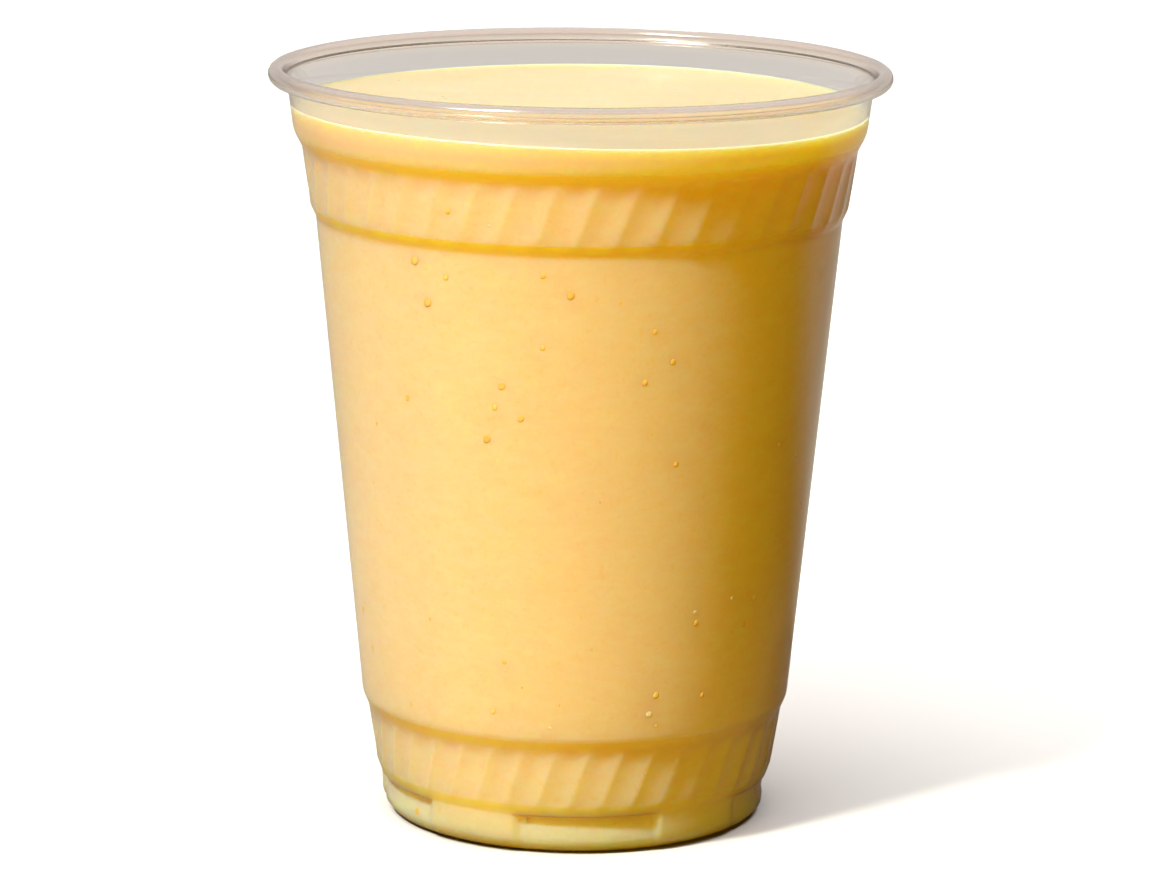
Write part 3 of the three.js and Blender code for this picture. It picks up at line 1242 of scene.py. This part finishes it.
@dataclass
class Flecks:
    """Small things of one kind, half sunk in the drink's side, joined as one piece."""

    name: str
    material: bpy.types.Material
    flatness: float
    tallness: float
    unevenness: float
    placed: list[Fleck]
    scattered: int
    sizes: tuple[float, float]
    band: tuple[float, float]
    seed: int
    lean: float = 0.7

    def scatter(self) -> list[Fleck]:
        """Gives the flecks that are strewn all round, apart from the placed ones."""
        dice = random.Random(self.seed)
        strewn = []
        for _ in range(self.scattered):
            size = self.sizes[0] + (self.sizes[1] - self.sizes[0]) * dice.random() ** 2
            azimuth = dice.uniform(0.0, FULL_TURN)
            height = dice.uniform(*self.band)
            strewn.append(Fleck(azimuth, height, size, dice.uniform(-self.lean, self.lean)))
        return strewn

    def model(self) -> bpy.types.Object:
        """Models one fleck, one millimetre across, a little uneven."""
        Bench.clear()
        bpy.ops.mesh.primitive_ico_sphere_add(subdivisions=2, radius=MM / 2, location=(0.0, 0.0, 0.0))
        fleck = bpy.context.object
        fleck.name = self.name
        Bench.edit(fleck)
        bpy.ops.transform.vertex_random(offset=self.unevenness * MM, seed=self.seed)
        bpy.ops.transform.resize(value=(1.0, self.flatness, self.tallness), center_override=(0.0, 0.0, 0.0))
        Bench.close()
        Bench.smooth(fleck, math.pi)
        return fleck

    def settle(self, fleck: bpy.types.Object, spot: Fleck, drink: bpy.types.Object) -> None:
        """Puts a fleck on the drink's side.

        Args:
            fleck: A copy of the model.
            spot: Its place and size.
            drink: The drink that carries it.
        """
        start = around(spot.azimuth, RAY_START, spot.height)
        hit, place, _, _ = drink.ray_cast(start, -around(spot.azimuth, 1.0, 0.0))
        if not hit:
            raise RuntimeError(f"{self.name} misses the drink at height {spot.height}")
        fleck.location = place
        fleck.rotation_euler = Euler((0.0, spot.lean, spot.azimuth))
        share = spot.size / MM
        fleck.scale = (share, 1.0, share)
        Bench.place(fleck)

    def build(self, drink: bpy.types.Object) -> bpy.types.Object:
        """Models the flecks and joins them.

        Args:
            drink: The drink that carries them.

        Returns:
            The finished piece.
        """
        model = self.model()
        flecks = []
        for spot in self.placed + self.scatter():
            fleck = Bench.copy(model, self.name)
            self.settle(fleck, spot, drink)
            flecks.append(fleck)
        bpy.data.objects.remove(model, do_unlink=True)
        Bench.pick(*flecks)
        bpy.ops.object.join()
        piece = bpy.context.view_layer.objects.active
        piece.name = self.name
        piece.data.name = self.name
        Bench.outward(piece)
        piece.data.materials.clear()
        piece.data.materials.append(self.material)
        Bench.place(piece)
        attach(piece, BODY)
        return piece


@dataclass(frozen=True)
class Lamp:
    """A soft lamp that lights only some of the pieces."""

    name: str
    azimuth: float
    elevation: float
    power: float
    colour: Rgb
    size: float = 0.9
    distance: float = 0.9

    def hang(self, target: Vector, lit: list[bpy.types.Object]) -> None:
        """Adds the lamp, facing its target.

        Args:
            target: The place that it shines at.
            lit: The objects that it lights.
        """
        data = bpy.data.lights.new(self.name, "AREA")
        data.shape = "DISK"
        data.size = self.size
        data.energy = self.power
        data.color = self.colour
        lamp = bpy.data.objects.new(self.name, data)
        bpy.context.scene.collection.objects.link(lamp)
        flat = self.distance * math.cos(self.elevation)
        lamp.location = target + around(self.azimuth, flat, self.distance * math.sin(self.elevation))
        lamp.rotation_euler = (target - lamp.location).to_track_quat("-Z", "Y").to_euler()
        receivers = bpy.data.collections.new(self.name + "_lights")
        for piece in lit:
            receivers.objects.link(piece)
        lamp.light_linking.receiver_collection = receivers
        lamp.visible_glossy = False
        lamp.visible_transmission = False


@dataclass(frozen=True)
class Studio:
    """Camera, floor and soft lamps."""

    distance: float = 786.97 * MM
    eye_height: float = 223.98 * MM
    pitch: float = math.radians(11.786)
    roll: float = math.radians(0.566)
    lens: float = 155.61
    sensor: float = 36.0
    frame_width: int = 1168
    frame_height: int = 880
    shift: float = 6.88 / 1168
    diffuse_bounces: int = 3
    sun_azimuth: float = math.radians(-43)
    sun_elevation: float = math.radians(55)
    sun_strength: float = 2.8
    sun_angle: float = math.radians(7)
    sun_colour: Rgb = (1.0, 0.99, 0.86)
    floor_size: float = 8.0
    floor_sides: int = 64
    floor_drop: float = 0.02 * MM
    floor_grain: Grain = Grain(3.0, 3.0, 0.5)
    floor_tones: tuple[tuple[float, Rgb], ...] = ((0.4, (0.985, 0.985, 0.985)), (0.6, (1.0, 1.0, 1.0)))
    floor_roughness: float = 0.8
    floor_gloss: float = 0.1
    # Past floor_seen these tones are painted light: a dim tone through the cup, a dim warm bounce, and a
    # painted reflection in the cup that is lighter on the left, darker on the right and in between behind,
    # standing in for a lit floor and a dim right side with the cup's shadow.
    floor_seen: Rgb = (0.88, 0.87, 0.86)
    floor_through: Rgb = (0.44, 0.43, 0.42)
    floor_bounce: Rgb = (0.09, 0.045, 0.003)
    mirror_lit: Rgb = (0.42, 0.38, 0.33)
    mirror_dark: Rgb = (0.13, 0.08, 0.03)
    mirror_back: Rgb = (0.30, 0.27, 0.23)
    mirror_reach: float = 150.0 * MM
    back_start: float = 90.0 * MM
    back_full: float = 200.0 * MM
    sky_seen: Rgb = (0.86, 0.85, 0.84)
    sky_mirror: Rgb = (0.78, 0.70, 0.65)
    sky_fill: Rgb = (0.02, 0.01, 0.002)

    aim: float = 60.0 * MM

    def lamps(self) -> tuple[Lamp, ...]:
        """Gives the tinted lamps that fill the drink's shadows."""
        return (
            Lamp("front_fill", 0.0, math.radians(10), power=5.6, colour=(1.0, 0.70, 0.0)),
            Lamp("right_fill", math.radians(125), math.radians(15), power=0.5, colour=(1.0, 0.1, 0.0)),
            Lamp("back_fill", math.radians(200), math.radians(30), power=10.0, colour=(0.74, 0.84, 1.0)),
        )

    def over(self) -> Lamp:
        """Gives the lamp that hangs over the floor and lights nothing else."""
        return Lamp(
            "floor_fill", 0.0, math.radians(89), power=45.0, colour=(1.0, 0.98, 0.96), size=2.0, distance=1.6)

    def pose(self) -> Matrix:
        """Gives the camera's place and turn."""
        place = Matrix.Translation((0.0, -self.distance, self.eye_height))
        tilt = Matrix.Rotation(math.pi / 2 - self.pitch, 4, "X")
        return place @ tilt @ Matrix.Rotation(self.roll, 4, "Z")

    def sight(self, across: float, down: float) -> tuple[Vector, Vector]:
        """Gives the line of sight through a pixel of the photograph's frame.

        Args:
            across: Pixels from the frame's left side.
            down: Pixels from its top.

        Returns:
            The camera's place and the direction that it looks in there.
        """
        right = across / self.frame_width - 0.5 + self.shift
        up = (self.frame_height / 2 - down) / self.frame_width
        pose = self.pose()
        ahead = Vector((right, up, -self.lens / self.sensor))
        return pose.translation, (pose.to_3x3() @ ahead).normalized()

    def camera(self) -> None:
        """Adds the camera at the photograph's viewing angle."""
        data = bpy.data.cameras.new("camera")
        data.lens = self.lens
        data.sensor_width = self.sensor
        data.sensor_fit = "HORIZONTAL"
        data.shift_x = self.shift
        camera = bpy.data.objects.new("camera", data)
        bpy.context.scene.collection.objects.link(camera)
        camera.matrix_world = self.pose()
        bpy.context.scene.camera = camera

    def sun(self) -> None:
        """Adds the key light."""
        data = bpy.data.lights.new("key", "SUN")
        data.energy = self.sun_strength
        data.angle = self.sun_angle
        data.color = self.sun_colour
        key = bpy.data.objects.new("key", data)
        bpy.context.scene.collection.objects.link(key)
        away = around(self.sun_azimuth, math.cos(self.sun_elevation), math.sin(self.sun_elevation))
        key.rotation_euler = (-away).to_track_quat("-Z", "Y").to_euler()

    def floor(self) -> bpy.types.Object:
        """Adds the plain pale floor, which is dimmer to bounced, passed and mirrored light, with painted
        light in those tones: a dim warm bounce, and a painted reflection that is lighter on the left and
        darker on the right.
        """
        Bench.clear()
        bpy.ops.mesh.primitive_circle_add(
            vertices=self.floor_sides, radius=self.floor_size / 2, fill_type="NGON")
        floor = bpy.context.object
        floor.name = "floor"
        floor.location.z = -self.floor_drop
        nodes = Nodes.material("pale_floor")
        path = nodes.add("ShaderNodeLightPath")
        grain = nodes.ramp(nodes.noise(self.floor_grain), list(self.floor_tones))
        through = nodes.blend(path.outputs["Is Transmission Ray"], self.floor_bounce, self.floor_through)
        seen = nodes.blend(path.outputs["Is Camera Ray"], through, self.floor_seen)
        bounced = nodes.math("MINIMUM", path.outputs["Diffuse Depth"], 1.0)
        place = nodes.add("ShaderNodeSeparateXYZ", {0: nodes.objects()})
        side = nodes.remap(place.outputs[0], (-self.mirror_reach, self.mirror_reach), (0.0, 1.0))
        behind = nodes.remap(place.outputs[1], (self.back_start, self.back_full), (0.0, 1.0))
        front = nodes.blend(side, self.mirror_lit, self.mirror_dark)
        mirror = nodes.blend(behind, front, self.mirror_back)
        mirrored = nodes.blend(path.outputs["Is Reflection Ray"], seen, mirror)
        tone = nodes.blend(bounced, mirrored, self.floor_bounce)
        colour = nodes.blend(1.0, tone, grain, "MULTIPLY")
        shader = nodes.shader({
            "Base Color": colour, "Roughness": self.floor_roughness, "Specular IOR Level": self.floor_gloss})
        floor.data.materials.append(nodes.finish(shader.outputs[0]))
        return floor

    def sky(self) -> None:
        """Sets a pale world that lights the shadows only a little."""
        nodes = Nodes.world("pale_world")
        path = nodes.add("ShaderNodeLightPath")
        tones = (self.sky_seen, self.sky_mirror, self.sky_fill)
        seen, mirror, fill = (
            nodes.add("ShaderNodeBackground", {"Color": (*tone, 1.0)}).outputs[0] for tone in tones)
        bounced = nodes.math("MINIMUM", path.outputs["Diffuse Depth"], 1.0)
        direct = nodes.add("ShaderNodeMixShader", {0: path.outputs["Is Camera Ray"], 1: mirror, 2: seen})
        mix = nodes.add("ShaderNodeMixShader", {0: bounced, 1: direct.outputs[0], 2: fill})
        bpy.context.scene.world = nodes.finish(mix.outputs[0])

    def light(self, pieces: list[bpy.types.Object], floor: bpy.types.Object) -> None:
        """Hangs the lamps.

        Args:
            pieces: The object's own pieces.
            floor: The floor.
        """
        middle = Vector((0.0, 0.0, self.aim))
        bpy.context.scene.cycles.diffuse_bounces = self.diffuse_bounces
        self.sun()
        self.sky()
        for lamp in self.lamps():
            lamp.hang(middle, pieces)
        self.over().hang(middle, [floor])


# Pixel across, pixel down and size in millimetres of what shows, read in the 1168 by 880 frame.
SPECKS_SEEN = (
    (448, 211, 0.85), (415, 260, 1.25), (446, 277, 0.85), (428, 302, 1.30), (543, 276, 0.75),
    (543, 348, 0.75), (502, 386, 1.05), (408, 398, 0.80), (495, 407, 0.85), (487, 439, 1.05),
    (655, 332, 0.65), (673, 362, 0.85), (676, 464, 0.75), (696, 623, 0.85), (743, 624, 0.75),
    (656, 695, 0.95), (702, 695, 0.75))
BUBBLES_SEEN = ((779, 444, 0.85), (695, 612, 0.70), (732, 598, 0.80), (754, 597, 0.85), (649, 714, 1.10))
SPECK_LEAN = 0.3


def seen_on(drink: bpy.types.Object, spots: Iterable[tuple[int, int, float]], lean: float) -> list[Fleck]:
    """Places flecks where the camera sees them on the drink's side.

    Args:
        drink: The drink that carries them.
        spots: Pixel across, pixel down and size in millimetres of each.
        lean: How far they lean, in radians.

    Returns:
        The flecks, in order.
    """
    flecks = []
    for across, down, size in spots:
        eye, sight = Studio().sight(across, down)
        hit, place, _, _ = drink.ray_cast(eye, sight)
        if not hit:
            raise RuntimeError(f"no drink at pixel {across}, {down}")
        flecks.append(Fleck(azimuth_of(place), place.z, size * MM, lean))
    return flecks


def pulp_specks(drink: bpy.types.Object) -> Flecks:
    """Gives the bits of pulp that show through the wall."""
    return Flecks(
        "pulp_specks", PULP_FLESH.make(), flatness=0.16, tallness=1.25, unevenness=0.16,
        placed=seen_on(drink, SPECKS_SEEN, SPECK_LEAN),
        scattered=70, sizes=(0.3 * MM, 1.0 * MM), band=(3.0 * MM, 107.0 * MM), seed=11)


def air_bubbles(drink: bpy.types.Object) -> Flecks:
    """Gives the air bubbles against the wall."""
    return Flecks(
        "air_bubbles", BUBBLE_SKIN.make(), flatness=0.16, tallness=1.0, unevenness=0.02,
        placed=seen_on(drink, BUBBLES_SEEN, 0.0),
        scattered=60, sizes=(0.2 * MM, 0.5 * MM), band=(8.0 * MM, 112.0 * MM), seed=23)


def main() -> None:
    """Builds each piece in order and reports it."""
    logging.basicConfig(level=logging.INFO, format="%(name)s: %(message)s")
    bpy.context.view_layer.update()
    form = CupForm()
    bpy.context.scene.view_settings.view_transform = "Standard"
    studio = Studio()
    studio.camera()
    floor = studio.floor()
    skin = MouldedWall(form).build()
    cup = ClearCup(form).build(skin)
    LOG.info("%s: %d faces", cup.name, len(cup.data.polygons))
    drink = Smoothie(form).build(skin)
    LOG.info("%s: %d faces", drink.name, len(drink.data.polygons))
    bpy.data.objects.remove(skin, do_unlink=True)
    pieces = [cup, drink]
    for kind in (pulp_specks(drink), air_bubbles(drink)):
        pieces.append(kind.build(drink))
        LOG.info("%s: %d faces", kind.name, len(pieces[-1].data.polygons))
    studio.light(pieces, floor)
    Bench.clear()


if __name__ == "__main__":
    main()
